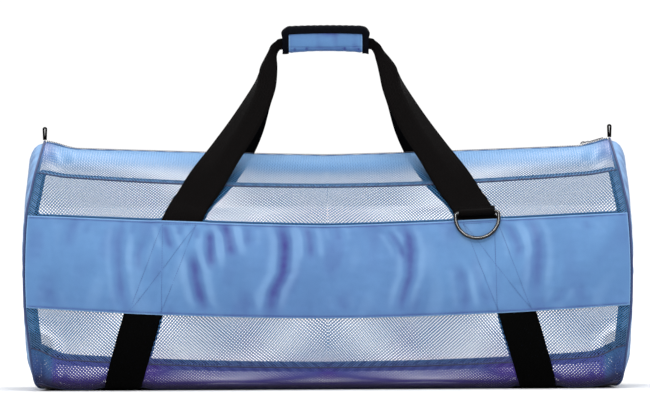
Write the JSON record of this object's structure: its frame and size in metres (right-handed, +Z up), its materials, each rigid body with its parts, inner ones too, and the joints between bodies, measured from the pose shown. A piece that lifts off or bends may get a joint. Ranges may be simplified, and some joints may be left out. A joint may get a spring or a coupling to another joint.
{
  "type": "mesh duffel bag",
  "caption": "Long soft mesh duffel for wet gear, with solid band, base and ends, webbing straps that meet in a padded handle, a zipped top and a D-ring.",
  "frame": {"origin": "middle of the bag's outline on the floor it stands on", "axes": "+X along the bag's length, towards the end nearer the D-ring; +Z up; the front with the D-ring faces -Y"},
  "size_m": [0.864, 0.364, 0.5138],
  "materials": {
    "mesh": "open knitted net, light blue over dark blue yarn",
    "nylon": "coated woven nylon, slight sheen",
    "piping": "dark blue bound cord",
    "webbing": "matte black woven webbing",
    "zip": "black zip tape with a coil chain",
    "metal": "glossy black-nickel plating"
  },
  "bodies": {
    "bag": {"mesh_front": "mesh", "mesh_top_front": "mesh", "mesh_lower_front": "mesh", "band_front": "nylon", "seam_tape_front": "webbing", "mesh_back": "mesh", "mesh_top_back": "mesh", "mesh_lower_back": "mesh", "band_back": "nylon", "seam_tape_back": "webbing", "base_panel": "nylon", "end_panel_left": "nylon", "piping_left": "piping", "end_loop_left": "webbing", "strap_left": "webbing", "end_panel_right": "nylon", "piping_right": "piping", "end_loop_right": "webbing", "strap_right": "webbing", "zip_strip": "zip", "zip_slider": "metal", "handle_wrap": "nylon", "handle_binding": "webbing", "dring_loop": "webbing"},
    "ring": {"d_ring": "metal"}
  },
  "joints": [
    {"name": "ring_hinge", "type": "hinge", "parent": "bag", "child": "ring", "pos_m": [0.20998, -0.16349, 0.24876], "axis": [-0.9986, 0, -0.0523], "range_deg": [0, 165]}
  ]
}
